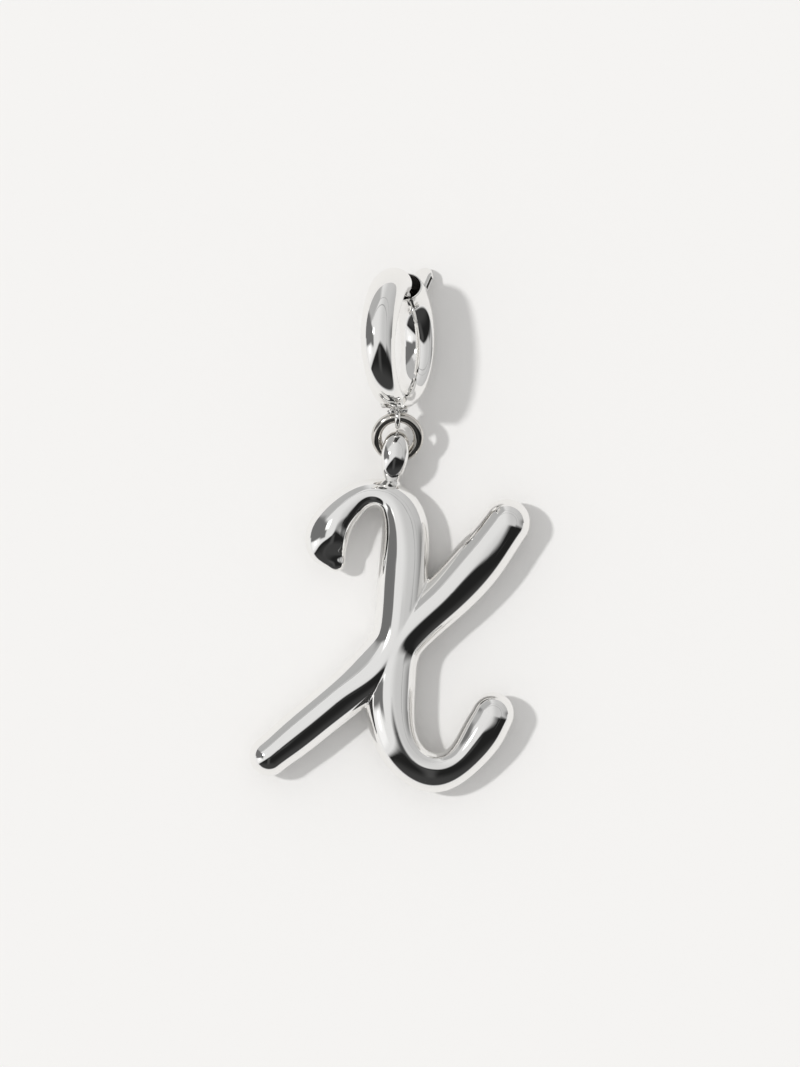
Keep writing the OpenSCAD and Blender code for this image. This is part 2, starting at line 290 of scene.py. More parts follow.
# %% The two lines and their place in the frame
OUTLINE_STEPS = 400
left_line, right_line = line_through(LEFT_ROWS * TO_MM), line_through(RIGHT_ROWS * TO_MM)
dense = np.concatenate([line(np.linspace(0, length, OUTLINE_STEPS))
                        for line, length in (left_line, right_line)])
mid_z = half_thickness(dense[:, 2]).max()
low_x, high_x = (dense[:, 0] - dense[:, 2]).min(), (dense[:, 0] + dense[:, 2]).max()
low_y = (dense[:, 1] - dense[:, 2]).min()
letter_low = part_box("initial")[0]
shift = np.array([letter_low.x / MM - low_x, letter_low.y / MM - low_y, mid_z])
print("stroke lengths", round(left_line[1], 1), round(right_line[1], 1), "mm, middle at", round(mid_z, 2))

# %% [markdown]
# Each stroke is a row of flattened balls along its line. A point is inside when some ball holds it. For one
# point, the ball that reaches it soonest is found on the line, first roughly and then with a few Newton
# steps. That gives a smooth number which is negative in the metal and zero on its skin.
#
# In a bend the ridge doesn't run along the middle: it keeps towards the inside, which leaves a broad slope
# outside and a steep one inside. A Moebius map of each ball's disc onto itself moves the ridge over and
# leaves the outline where it is.

# %% The letter as a field
CREASE, RIDGE_PULL, RIDGE_MOST, BEND_SPAN = 0.06, 0.5, 0.3, 1.8
END_CALM, CROSS_CALM = 1.6, (4.0, 9.0)
END_FLAT, FLAT_OVER = 0.8, 5.0
ARM_RIDGE, ARM_FROM, ARM_TO = 0.22, 3.6, 8.0
TRIALS, NEWTON_STEPS, LEAST_BEND = 240, 8, -1e-3


def soonest_ball(x, y, line):
    """Place on the line of the least distance / half width: the root of (p - q).q' w + |p - q|^2 w' = 0."""
    value, length = line
    trial = np.linspace(0, length, TRIALS)
    q = value(trial)
    reach = ((x[:, None] - q[:, 0]) ** 2 + (y[:, None] - q[:, 1]) ** 2) / q[:, 2] ** 2
    best = reach.argmin(1)
    s = first = trial[best]
    low, high = np.maximum(s - trial[1], 0), np.minimum(s + trial[1], length)
    for _ in range(NEWTON_STEPS):
        q, d, dd = value(s), value(s, 1), value(s, 2)
        px, py, w = x - q[:, 0], y - q[:, 1], q[:, 2]
        far = px * px + py * py
        along = px * d[:, 0] + py * d[:, 1]
        f = along * w + far * d[:, 2]
        turning = px * dd[:, 0] + py * dd[:, 1] - d[:, 0] ** 2 - d[:, 1] ** 2
        df = turning * w - along * d[:, 2] + far * dd[:, 2]
        s = np.clip(s - f / np.minimum(df, LEAST_BEND), low, high)
    q = value(s)
    worse = ((x - q[:, 0]) ** 2 + (y - q[:, 1]) ** 2) / q[:, 2] ** 2 > reach[np.arange(len(x)), best]
    return np.where(worse, first, s)


def ease(t):
    """0 below 0, 1 above 1, and a level start and end between: t^2 (3 - 2 t)."""
    t = np.clip(t, 0, 1)
    return t * t * (3 - 2 * t)


def ridge_shift(s, line):
    """Share of the half width by which the ridge moves to the inside: pull times bend times width, where the
    bend is how much the line turns over a span of it. It is eased off at the line's ends and near the
    crossing, and just below the crossing the left stroke's ridge is moved by a share of its own."""
    value, length = line
    d, dd = value(np.maximum(s - BEND_SPAN, 0), 1), value(np.minimum(s + BEND_SPAN, length), 1)
    turn = np.arctan2(d[:, 0] * dd[:, 1] - d[:, 1] * dd[:, 0], d[:, 0] * dd[:, 0] + d[:, 1] * dd[:, 1])
    q = value(s)
    calm = ease(np.minimum(s, length - s) / END_CALM)
    calm = calm * ease((np.hypot(q[:, 0], q[:, 1]) - CROSS_CALM[0]) / (CROSS_CALM[1] - CROSS_CALM[0]))
    pulled = RIDGE_MOST * np.tanh(RIDGE_PULL * turn / (2 * BEND_SPAN) * q[:, 2] / RIDGE_MOST) * calm
    if line is right_line:
        return pulled
    down = np.hypot(q[:, 0], q[:, 1]) * (q[:, 1] < 0)
    return pulled + ARM_RIDGE * ease(down / ARM_FROM) * (1 - ease((down - ARM_FROM) / (ARM_TO - ARM_FROM)))


def stroke_field(x, y, z, line):
    """(sqrt(across^2 + up^2 / h^2) - 1) * h, where across is the point's place in its ball's disc, as a
    complex number, after the map (place - shift) / (1 - shift * place). The curl's end is flattened."""
    s = soonest_ball(x, y, line)
    q, d = line[0](s), line[0](s, 1)
    d = d[:, :2] / np.linalg.norm(d[:, :2], axis=1)[:, None]
    px, py = (x - q[:, 0]) / q[:, 2], (y - q[:, 1]) / q[:, 2]
    side, on = d[:, 0] * py - d[:, 1] * px, d[:, 0] * px + d[:, 1] * py
    e, h = ridge_shift(s, line), half_thickness(q[:, 2])
    if line is left_line:
        h = h + (END_FLAT * q[:, 2] - h) * (1 - ease(s / FLAT_OVER))
    across = ((side - e) ** 2 + on ** 2) / ((1 - e * side) ** 2 + (e * on) ** 2)
    return (np.sqrt(across[:, None] + (z / h[:, None]) ** 2) - 1) * h[:, None]


def blend_in(a, b, k):
    """Smooth least of a and b: over the distance k the two are mixed and sunk by at most k / 4."""
    t = np.clip(0.5 + 0.5 * (b - a) / k, 0, 1)
    return b + (a - b) * t - k * t * (1 - t)


# %% The solder bead at the crown
BEAD_OVER, BEAD_MELT = 0.12, 0.3
BEAD_R = np.array([0.8, 0.42, 0.75])
crown = (LEFT_ROWS * TO_MM)[CROWN_ROW]
bead_at = np.array([crown[0] + BEAD_OVER, crown[1] + crown[2] - BEAD_OVER])
print("bead at", bead_at.round(2), "mm")


def letter_field(x, y, z):
    """Both strokes and the solder bead, blended; x and y are rows of points and z has a column for each."""
    both = blend_in(stroke_field(x, y, z, left_line), stroke_field(x, y, z, right_line), CREASE)
    across = ((x - bead_at[0]) / BEAD_R[0]) ** 2 + ((y - bead_at[1]) / BEAD_R[1]) ** 2
    bead = (np.sqrt(across[:, None] + (z / BEAD_R[2]) ** 2) - 1) * BEAD_R[1]
    return blend_in(both, bead, BEAD_MELT)


# %% [markdown]
# The skin of such a field becomes a mesh by surface nets. The space is cut into small cells, each cell that
# the skin passes through gets one point, and cells round a cut edge are joined by a quad. The points are
# then slid along the slope of the field onto the exact skin, so that the reflections run smoothly whatever
# the cells are.

# %% Surface nets
def surface_nets(field, low, cell):
    """One point for each cell that the zero level crosses, at the mean of its crossed edges, and one quad for
    each crossed grid edge, through the four cells round it."""
    inside = field < 0
    corners = [(i, j, k) for i in (0, 1) for j in (0, 1) for k in (0, 1)]
    size = np.array(field.shape) - 1

    def at_corner(a, c):
        return a[c[0]:c[0] + size[0], c[1]:c[1] + size[1], c[2]:c[2] + size[2]]

    count = sum(at_corner(inside, c).astype(np.int8) for c in corners)
    crossed = (count > 0) & (count < 8)
    number = np.full(tuple(size), -1)
    number[crossed] = np.arange(crossed.sum())
    total, hits = np.zeros((crossed.sum(), 3)), np.zeros(crossed.sum())
    for a in corners:
        for axis in range(3):
            if a[axis] == 0:
                b = tuple(1 if n == axis else a[n] for n in range(3))
                fa, fb = at_corner(field, a)[crossed], at_corner(field, b)[crossed]
                meets = (fa < 0) != (fb < 0)
                t = np.where(meets, fa / np.where(meets, fa - fb, 1), 0)
                point = np.tile(np.array(a, float), (len(t), 1))
                point[:, axis] = t
                total += point * meets[:, None]
                hits += meets
    points = (np.argwhere(crossed) + total / hits[:, None]) * cell + low
    quads = []
    for axis in range(3):
        u, v = (axis + 1) % 3, (axis + 2) % 3
        first = [slice(None)] * 3
        second = [slice(None)] * 3
        first[axis], second[axis] = slice(0, -1), slice(1, None)
        a, b = inside[tuple(first)], inside[tuple(second)]
        e = np.argwhere(a != b)
        e = e[(e[:, u] > 0) & (e[:, v] > 0) & (e[:, u] < size[u]) & (e[:, v] < size[v])]
        cells = []
        for du, dv in ((1, 1), (0, 1), (0, 0), (1, 0)):
            c = e.copy()
            c[:, u] -= du
            c[:, v] -= dv
            cells.append(number[tuple(c.T)])
        quad = np.stack(cells, 1)
        outward = a[tuple(e.T)]
        quads.append(np.where(outward[:, None], quad, quad[:, ::-1]))
    return points, np.concatenate(quads)


# %% Skin of a field
PROBE, SLIDES, LEAST_SLOPE = 0.01, 3, 0.05


def skin_of(field, low, high, cell):
    """Points and quads of the zero level of a field of rows of x, y and columns of z. A slide moves a point
    by the field over the slope squared, along the slope, which is a Newton step."""
    axes = [np.arange(low[n], high[n] + cell, cell) for n in range(3)]
    gx, gy = [v.ravel() for v in np.meshgrid(axes[0], axes[1], indexing="ij")]
    values = field(gx, gy, np.tile(axes[2], (len(gx), 1))).reshape([len(a) for a in axes])
    points, quads = surface_nets(values, np.array([a[0] for a in axes]), cell)

    def probe(p):
        return field(p[:, 0], p[:, 1], p[:, 2:3])[:, 0]

    for _ in range(SLIDES):
        rises = [probe(points + PROBE * d) - probe(points - PROBE * d) for d in np.eye(3)]
        slope = np.stack(rises, 1) / (2 * PROBE)
        steep = (slope ** 2).sum(1)
        points = points - (probe(points) / np.maximum(steep, LEAST_SLOPE))[:, None] * slope
    return points, quads


# %% [markdown]
# The curl's tip narrows so fast in its bend that the balls crowd on its inner side and leave small dimples,
# which a mirror shows at once. There the points are eased towards their neighbours, as a last rub with a
# cloth would do.

# %% Smoothing of one place
TIP_CALM, TIP_FROM, TIP_ROUNDS = 1.4, 2.4, 30


def calmed(points, quads, share, rounds):
    """Each round moves a point by half its share of the way to the mean of its neighbours on quad edges."""
    first, second = quads.ravel(), np.roll(quads, -1, 1).ravel()
    here, there = np.concatenate([first, second]), np.concatenate([second, first])
    near = share[here] > 0
    here, there = here[near], there[near]
    count = np.maximum(np.bincount(here, minlength=len(points)), 1)[:, None]
    for _ in range(rounds):
        mean = np.stack([np.bincount(here, points[there, n], len(points)) for n in range(3)], 1) / count
        points = points + 0.5 * share[:, None] * (mean - points)
    return points


# %% The letter's skin
FINE_CELL, SKIN_ROOM, CROWN_ROOM = 0.13, 0.3, 0.7
letter_cell = FINE_CELL
skin_low = (low_x - SKIN_ROOM, low_y - SKIN_ROOM, -mid_z - SKIN_ROOM)
skin_high = (high_x + SKIN_ROOM, crown[1] + crown[2] + CROWN_ROOM, mid_z + SKIN_ROOM)
letter_points, letter_quads = skin_of(letter_field, skin_low, skin_high, letter_cell)
tip = LEFT_ROWS[TIP_ROW] * TO_MM
from_tip = np.hypot(letter_points[:, 0] - tip[0], letter_points[:, 1] - tip[1])
rounds = round(TIP_ROUNDS * (FINE_CELL / letter_cell) ** 2)
letter_points = calmed(letter_points, letter_quads, ease((TIP_FROM - from_tip) / TIP_CALM), rounds)
print("letter skin", len(letter_points), "points,", int((from_tip < TIP_FROM).sum()), "at the curl's tip")

# %% [markdown]
# The bail is a puffed loop that stands across the letter, soldered by its narrow foot. Its section is a D, a
# high dome outside and a nearly flat inside, and its width changes round the loop, widest at its sides and
# narrowest at its foot. It is a grid of two angles, one round the loop and one round the section.

# %% The bail
BAIL_OD, BAIL_WALL, BAIL_DOME, BAIL_TURN, BAIL_SHIFT, BAIL_SINK = 4.4, 1.0, 0.8, 8.0, 0.15, 0.25
BAIL_FAR_W, BAIL_SIDE_W, BAIL_FOOT_W, BAIL_LONG = 2.0, 2.4, 1.8, 1.17
BAIL_RINGS, BAIL_ROUND = 192, 72


def round_value(a, top, side, foot):
    """Quadratic in the cosine of the angle: top at 0 degrees, side at 90, foot at 180."""
    return side + (top - foot) / 2 * np.cos(a) + ((top + foot) / 2 - side) * np.cos(a) ** 2


def bail_grid(round_count, section_count):
    """Loop angle a, section angle t: across = w(a) / 2 cos t, radius = edge + share * wall * sin t."""
    a = np.linspace(0, 2 * np.pi, round_count, endpoint=False)[:, None]
    t = np.linspace(0, 2 * np.pi, section_count, endpoint=False)[None, :]
    share = np.where(np.sin(t) >= 0, BAIL_DOME, 1 - BAIL_DOME)
    r = BAIL_OD / 2 - BAIL_DOME * BAIL_WALL + share * BAIL_WALL * np.sin(t) + 0 * a
    x = round_value(a, BAIL_FAR_W, BAIL_SIDE_W, BAIL_FOOT_W) / 2 * np.cos(t)
    turn = math.radians(-BAIL_TURN)
    y, z = r * np.cos(a) * BAIL_LONG, r * np.sin(a)
    return np.stack([x * math.cos(turn) - y * math.sin(turn), x * math.sin(turn) + y * math.cos(turn), z], 2)


bail_reach = BAIL_OD / 2 - BAIL_SINK
bail_way = np.array([math.sin(math.radians(BAIL_TURN)), math.cos(math.radians(BAIL_TURN)), 0])
crown_top = np.array([crown[0] + BAIL_SHIFT, crown[1] + crown[2], 0])
bail_at = crown_top + bail_reach * bail_way
bail_mid = bail_at + (BAIL_LONG - 1) * BAIL_OD / 2 * bail_way
bail_points = bail_grid(BAIL_RINGS, BAIL_ROUND).reshape(-1, 3) + bail_mid
bail_quads = grid_quads(BAIL_RINGS, BAIL_ROUND, True, True, start=len(letter_points))
print("bail middle", bail_mid.round(2), "mm")

# %% The letter with its bail
all_points = np.concatenate([letter_points, bail_points]) + shift
piece_from("letter", all_points, letter_quads.tolist() + bail_quads, PENDANT, letter_silver,
           stands_for=("initial",))
print("letter box", all_points.min(0).round(2), all_points.max(0).round(2))

# %% [markdown]
# The jump ring is plain round wire. A torus is a circle carried round a circle, tilted as it rests in the
# bail.

# %% Jump ring
JUMP_OD, JUMP_WIRE, JUMP_RISE, WIRE_ALONG, WIRE_UP = 4.7, 0.95, 20.0, 0.25, 0.1
JUMP_RINGS, JUMP_ROUND = 176, 48


def side_axes(n):
    """Two unit axes, square to the unit axis n and to each other."""
    u = np.cross([0, 1, 0] if abs(n[1]) < 0.9 else [1, 0, 0], n)
    u /= np.linalg.norm(u)
    return u, np.cross(n, u)


def torus_grid(r, wire, normal, count, section):
    """Circle of radius wire / 2 carried round a circle of radius r in the plane across normal."""
    n = np.array(normal) / np.linalg.norm(normal)
    u, v = side_axes(n)
    a = np.linspace(0, 2 * np.pi, count, endpoint=False)[:, None, None]
    t = np.linspace(0, 2 * np.pi, section, endpoint=False)[None, :, None]
    out = np.cos(a) * u + np.sin(a) * v
    return (r + wire / 2 * np.cos(t)) * out + wire / 2 * np.sin(t) * n


rise = math.radians(JUMP_RISE)
jump_r = (JUMP_OD - JUMP_WIRE) / 2
jump_up = np.array([0, 0, WIRE_UP + jump_r * math.sin(rise)])
jump_at = bail_at + (WIRE_ALONG + jump_r * math.cos(rise)) * bail_way + jump_up
jump_normal = (0, -math.sin(rise), math.cos(rise))
jump_grid = torus_grid(jump_r, JUMP_WIRE, jump_normal, JUMP_RINGS, JUMP_ROUND)
jump_quads = grid_quads(JUMP_RINGS, JUMP_ROUND, True, True)
piece_from("jump_wire", jump_grid.reshape(-1, 3) + jump_at + shift, jump_quads, PENDANT, wire_silver,
           stands_for=("jump_ring",))

# %% [markdown]
# The clip ring stands on its side and leans a little, so it has axes of its own: out across its band, along
# the pendant and up the ring. The band is thick and wide at the top and slim at the foot. Its section is an
# ellipse, which on the side that faces up becomes a D with a high dome outside. It is cut in two: the body
# below carries the loop, the thumb tab and two hinge ears, and the gate above turns on the pin between them.

# %% Ring axes and sizes
CLIP_L, CLIP_D, LEAN = 12.7, 11.9, math.radians(22)
TOP_T, SIDE_T, FOOT_T = 2.8, 2.1, 1.45
TOP_W, SIDE_W, FOOT_W = 3.4, 3.2, 2.6
LOOP_WIRE, LOOP_GAP, LOOP_ALONG, LOOP_SINK = 0.45, 0.16, -0.75, 0.05
GATE_END, BODY_END, HINGE_AT = math.radians(7), math.radians(-21), math.radians(168)
KNUCKLE_R, KNUCKLE_W, HINGE_SHARE, PART_GAP = 0.72, 0.9, 0.75, 0.1
PEG_R, PEG_DEPTH, PEG_IN, PEG_ALONG = 0.4, 0.6, 0.7, 0.5
TAB_L, TAB_ROOT_W, TAB_END_W, TAB_ALONG, TAB_T = 3.8, 1.2, 1.7, 0.4, 0.55
TAB_ANGLE, TAB_SLOPE = math.radians(-47), math.radians(-40)
DOME, DOME_FROM, DOME_OVER = 0.7, 0.3, 0.6

loop_at = jump_at + shift + jump_r * np.array([0, math.cos(rise), math.sin(rise)])
loop_hole_r = JUMP_WIRE / 2 + LOOP_GAP
loop_r = loop_hole_r + LOOP_WIRE
side_reach = math.hypot(SIDE_W / 2 * math.sin(LEAN), SIDE_T / 2 * math.cos(LEAN))
clip_z = (CLIP_D - SIDE_T) / 2 * math.cos(LEAN) + side_reach
loop_out = (loop_at[2] - clip_z - LOOP_ALONG * math.sin(LEAN)) / math.cos(LEAN)
loop_from = loop_r - FOOT_T / 2 * (1 - math.sqrt(1 - (2 * LOOP_ALONG / FOOT_W) ** 2)) - LOOP_SINK
loop_up = -(CLIP_L / 2 + loop_from) * math.sqrt(1 - (loop_out / (CLIP_D / 2 + loop_from)) ** 2)
clip_x = loop_at[0] - LOOP_ALONG * math.cos(LEAN) + loop_out * math.sin(LEAN)
clip_at = np.array([clip_x, loop_at[1] - loop_up, clip_z])
RING_AXES = np.array([[math.cos(LEAN), 0, math.sin(LEAN)], [0, 1, 0], [-math.sin(LEAN), 0, math.cos(LEAN)]])


def on_table(points):
    """Ring axes (out, along, up) to the frame's axes."""
    return np.asarray(points) @ RING_AXES + clip_at


def clip_mid(a):
    """Middle of the band at angle a from the ring's top."""
    t = round_value(a, TOP_T, SIDE_T, FOOT_T)
    return np.stack([0 * t, (CLIP_L - t) / 2 * np.cos(a), (CLIP_D - t) / 2 * np.sin(a)], -1)


def band_points(a, size, t):
    """A D across the ring at angle a: x = size * width / 2 * cos t, and outwards from the widest line size *
    height * sin t, where the height is the dome's share of the thickness outside and the rest inside."""
    half_w, thick = round_value(a, TOP_W, SIDE_W, FOOT_W) / 2, round_value(a, TOP_T, SIDE_T, FOOT_T)
    dome = 0.5 + (DOME - 0.5) * ease((np.sin(a) - DOME_FROM) / DOME_OVER)
    widest = (0.5 - dome) * thick
    r = widest + size * thick * np.where(np.sin(t) >= 0, dome, 1 - dome) * np.sin(t)
    return clip_mid(a) + np.stack([size * half_w * np.cos(t), r * np.cos(a), r * np.sin(a)], -1)


# %% [markdown]
# The half rings get rounded rims at their ends, as a polished cut has. The body's end is open: the puffed
# ring is a thin shell there, and the gate's peg goes into the hollow. A near-black cup inside the hollow
# paints the shade in it. Each is a row of rings along the band, and a fan of triangles closes the first ring
# and the last.

# %% Band with rounded ends
RIM_REACH, RIM_SHRINK, RIM_STEPS = 5.2, 0.7, 9
HOLLOW_SIZE, HOLLOW_DEEP, HOLLOW_LIP, HOLLOW_FLARE = 0.89, 0.34, 0.04, 0.02
CAP_SIZES, FLOOR_SIZES = [0.2, 0.5, 0.8], [0.25, 0.6]
# the near-black cup of painted shade inside the body's open end
CUP_EDGE, CUP_THICK = 0.05, 0.01
CUP_OUTSIDE, CUP_INSIDE = [0.2, 0.6, 0.88], [0.86, 0.6, 0.2]


def band_rings(a, size, around):
    """A grid of rings of the band, one for each angle a and size, with its points at even angles t."""
    t = np.linspace(0, 2 * np.pi, around, endpoint=False)
    return band_points(*np.broadcast_arrays(a[:, None], size[:, None], t[None, :]))


def capped(grid, ends, flipped=False):
    """Points and faces of a grid of rings, each closed round, with a fan from each end ring to its middle."""
    rings, around = grid.shape[:2]
    k = np.arange(around)
    after, count, end = (k + 1) % around, rings * around, (rings - 1) * around
    first = np.stack([np.full(around, count), k, after], 1)
    last = np.stack([np.full(around, count + 1), end + after, end + k], 1)
    faces = grid_quads(rings, around, False, True) + first.tolist() + last.tolist()
    return np.concatenate([grid.reshape(-1, 3), ends]), [f[::-1] for f in faces] if flipped else faces


def band_solid(start, end, rim, hollow=False, steps=150, around=96):
    """Rings of the band from one angle to the other. At the first angle the ring shrinks by 1 - cos over the
    rim, then closes flat, or turns inwards into a hollow. The last angle closes flat."""
    way = 1 if end > start else -1
    q = np.linspace(np.pi / 2, 0, RIM_STEPS)[:-1]
    rim_a = start - way * rim / RIM_REACH * np.sin(q)
    band_a = start + (end - start) * np.linspace(0, 1, steps)
    size = np.concatenate([1 - RIM_SHRINK * rim * (1 - np.cos(q)), np.ones(steps)])
    tip_a, deep = rim_a[0], rim_a[0] + way * HOLLOW_DEEP
    cap_a, cap_s = [tip_a] * len(CAP_SIZES), CAP_SIZES
    if hollow:
        cap_a = [deep, deep, deep, tip_a + way * HOLLOW_LIP, tip_a]
        cap_s = FLOOR_SIZES + [HOLLOW_SIZE, HOLLOW_SIZE, HOLLOW_SIZE + HOLLOW_FLARE]
    a = np.concatenate([cap_a, rim_a, band_a, [end] * len(CAP_SIZES)])
    size = np.concatenate([cap_s, size, CAP_SIZES[::-1]])
    return capped(band_rings(a, size, around), clip_mid(a[[0, -1]]), way < 0)


def hollow_shade_cup(start, way, around=96):
    """A near-black cup inside the hollow that paints the shade in it: rings down its outside and back up its
    inside, joined at its edge.
    """
    deep, edge = start + way * (HOLLOW_DEEP - CUP_THICK), start + way * CUP_EDGE
    a = np.array([deep] * 3 + [edge] * 2 + [deep - way * CUP_THICK] * 3)
    size = np.array(CUP_OUTSIDE + CUP_OUTSIDE[-1:] + CUP_INSIDE[:1] + CUP_INSIDE)
    return capped(band_rings(a, size, around), clip_mid(a[[0, -1]]), way > 0)


# %% [markdown]
# The hinge cuts are made with cutters, the way a jeweller's file would, and kept a little sharp. The hinge's
# knuckles, the peg and the cutters are all rods.

# %% Rods and cutters
ROD_RIM_STEPS = 5


def rod(start, end, r, rim=0.04, around=64):
    """Cylinder from start to end with a small rounded rim, closed by a fan at each end."""
    start, end = np.asarray(start, float), np.asarray(end, float)
    length = np.linalg.norm(end - start)
    n = (end - start) / length
    u, v = side_axes(n)
    q = np.linspace(0, np.pi / 2, ROD_RIM_STEPS)
    back, wide, cap_r = rim * (1 - np.cos(q)), r - rim + rim * np.sin(q), [0.5 * (r - rim)]
    along = np.concatenate([[0], back, length - back[::-1], [length]])
    radius = np.concatenate([cap_r, wide, wide[::-1], cap_r])
    k = np.linspace(0, 2 * np.pi, around, endpoint=False)
    out = np.cos(k)[:, None] * u + np.sin(k)[:, None] * v
    grid = start + along[:, None, None] * n + radius[:, None, None] * out[None]
    return capped(grid, [start, end], True)


def cut_away(name, solid, cutters):
    """The solid less its cutters, by exact booleans on temporary objects; returns points and faces."""
    def temporary(tag, points, faces):
        mesh = bpy.data.meshes.new(tag)
        mesh.from_pydata(np.asarray(points).tolist(), [], [list(f) for f in faces])
        obj = bpy.data.objects.new(tag, mesh)
        bpy.context.scene.collection.objects.link(obj)
        return obj
    target = temporary(name, *solid)
    tools = [temporary(name + "_cutter", *c) for c in cutters]
    for tool in tools:
        modifier = target.modifiers.new("cut", "BOOLEAN")
        modifier.operation, modifier.solver, modifier.object = "DIFFERENCE", "EXACT", tool
    mesh = bpy.data.meshes.new_from_object(target.evaluated_get(bpy.context.evaluated_depsgraph_get()))
    points = np.array([v.co[:] for v in mesh.vertices])
    faces = [list(p.vertices) for p in mesh.polygons]
    for obj in [target, *tools]:
        bpy.data.objects.remove(obj)
    print(name, "cut", len(cutters), "times:", len(faces), "faces")
    return points, faces


def joined(*solids):
    """Several closed shells as one list of points and faces."""
    points, faces, count = [], [], 0
    for p, f in solids:
        points.append(np.asarray(p))
        faces += [[v + count for v in face] for face in f]
        count += len(p)
    return np.concatenate(points), faces


# %% Hinge and catch
GATE_BACK, GATE_RIM, BODY_ON, BODY_RIM, CUT_REACH = 0.055, 0.12, 0.02, 0.08, 3.0
hinge_mid = clip_mid(np.array([HINGE_AT]))[0]
hinge_w = HINGE_SHARE * round_value(np.array([HINGE_AT]), TOP_W, SIDE_W, FOOT_W)[0]
slot_w = KNUCKLE_W + 2 * PART_GAP
clear_r = KNUCKLE_R + PART_GAP
across = np.array([1.0, 0, 0])
body_tip = clip_mid(np.array([BODY_END]))[0]
peg_to = body_tip - PEG_IN * body_tip / np.linalg.norm(body_tip) + PEG_ALONG * across
from_hinge = peg_to - PEG_ALONG * across - hinge_mid
swing = from_hinge / np.linalg.norm(from_hinge)
peg_way = np.array([0, -swing[2], swing[1]])
peg_l = np.linalg.norm(clip_mid(np.array([GATE_END]))[0] - body_tip) + 2 * PEG_DEPTH


def at_hinge(r, low, high, **more):
    """A rod along the hinge's axis between two places across the ring."""
    return rod(hinge_mid + low * across, hinge_mid + high * across, r, **more)


gate_band = band_solid(GATE_END + GATE_BACK, HINGE_AT, GATE_RIM)
body_band = band_solid(BODY_END - BODY_ON, HINGE_AT - 2 * np.pi, BODY_RIM, hollow=True)
gate_cut = cut_away("gate_band", gate_band, [at_hinge(clear_r, KNUCKLE_W / 2, CUT_REACH),
                                             at_hinge(clear_r, -CUT_REACH, -KNUCKLE_W / 2)])
body_cut = cut_away("body_band", body_band, [at_hinge(clear_r, -slot_w / 2, slot_w / 2)])

# %% [markdown]
# The little loop under the ring was soldered by hand, and the solder stayed as a few bright grains over its
# root. They are balls that melt into each other, made with the same surface nets as the letter.

# %% Solder grains on the ring's foot
GRAIN_MELT, GRAIN_CELL, GRAIN_ROOM = 0.1, 0.05, 0.1
GRAINS = np.array([  # x, y, z from the loop's middle, and radius
    [-0.72, 0.47, 0.52, 0.27], [-0.42, 0.60, 0.66, 0.34], [0.05, 0.78, 0.92, 0.42], [0.42, 0.66, 0.70, 0.33],
    [0.74, 0.62, 0.62, 0.25], [-0.02, 0.62, 0.45, 0.22], [0.30, 0.86, 1.25, 0.34], [-0.30, 0.88, 1.15, 0.3]])


def grain_field(x, y, z):
    """The grains' distances, blended one after another."""
    total = None
    for gx, gy, gz, r in GRAINS:
        ball = np.sqrt(((x - gx) ** 2 + (y - gy) ** 2)[:, None] + (z - gz) ** 2) - r
        total = ball if total is None else blend_in(total, ball, GRAIN_MELT)
    return total


grain_low = (GRAINS[:, :3] - GRAINS[:, 3:]).min(0) - GRAIN_ROOM
grain_high = (GRAINS[:, :3] + GRAINS[:, 3:]).max(0) + GRAIN_ROOM
grain_points, grain_quads = skin_of(grain_field, grain_low, grain_high, GRAIN_CELL)
piece_from("ring_solder", grain_points + loop_at, grain_quads.tolist(), PENDANT, letter_silver)

# %% [markdown]
# The thumb tab is a small tongue beside the cut. Its right edge has a short groove for the nail. The groove
# is cut, and a near-black rod at its bottom paints the shade in it.

# %% Thumb tab
TAB_RIM, TAB_RIM_STEPS, TAB_CAP = 0.08, 6, 0.45
GROOVE_R, GROOVE_OUT, GROOVE_FROM, GROOVE_TO = 0.3, 0.14, 1.4, 2.8
# the near-black rod of painted shade in the groove: its radius, how far in it lies, and how much shorter it
# is
SHADE_ROD_R, SHADE_ROD_IN, SHADE_ROD_SHORT = 0.25, 0.27, 0.05
tab_slant = math.asin((TAB_END_W - TAB_ROOT_W) / 2 / (TAB_L - TAB_END_W / 2))


def tab_place(points):
    """The tab's own axes (across, along, through) turned by its slope and moved to its root on the band."""
    c, s = math.cos(TAB_SLOPE), math.sin(TAB_SLOPE)
    x, y, z = points.T
    root = clip_mid(np.array([TAB_ANGLE]))[0] + TAB_ALONG * across
    return np.stack([x, y * c - z * s, y * s + z * c], 1) + root


def by_right_edge(out, low, high):
    """Two places beside the right edge, whose line is x cos(slant) - y sin(slant) = root radius."""
    y = np.array([low, high])
    x = (TAB_ROOT_W / 2 + y * math.sin(tab_slant)) / math.cos(tab_slant)
    return tab_place(np.stack([x + out * math.cos(tab_slant), y - out * math.sin(tab_slant), 0 * y], 1))


def tab_solid(around=72):
    """The outline is two arcs and their tangents, carried through the thickness with rounded edges."""
    r1, r2, reach = TAB_ROOT_W / 2, TAB_END_W / 2, TAB_L - TAB_END_W / 2
    low = np.linspace(np.pi + tab_slant, 2 * np.pi - tab_slant, around // 3)
    high = np.linspace(-tab_slant, np.pi + tab_slant, around - around // 3)
    low_way, high_way = np.stack([np.cos(low), np.sin(low)], 1), np.stack([np.cos(high), np.sin(high)], 1)
    outline = np.concatenate([r1 * low_way, r2 * high_way + [0, reach]])
    outward = np.concatenate([low_way, high_way])
    q = np.linspace(0, np.pi / 2, TAB_RIM_STEPS)
    rim_in, rim_up = TAB_RIM * (1 - np.sin(q)), TAB_RIM * (1 - np.cos(q)) - TAB_T / 2
    inset = np.concatenate([[TAB_CAP], rim_in, rim_in[::-1], [TAB_CAP]])
    up = np.concatenate([[-TAB_T / 2], rim_up, -rim_up[::-1], [TAB_T / 2]])
    flat = outline[None] - inset[:, None, None] * outward[None]
    grid = np.concatenate([flat, np.broadcast_to(up[:, None, None], flat.shape[:2] + (1,))], 2)
    points, faces = capped(grid, [[0, reach / 2, up[0]], [0, reach / 2, up[-1]]], True)
    return tab_place(points), faces


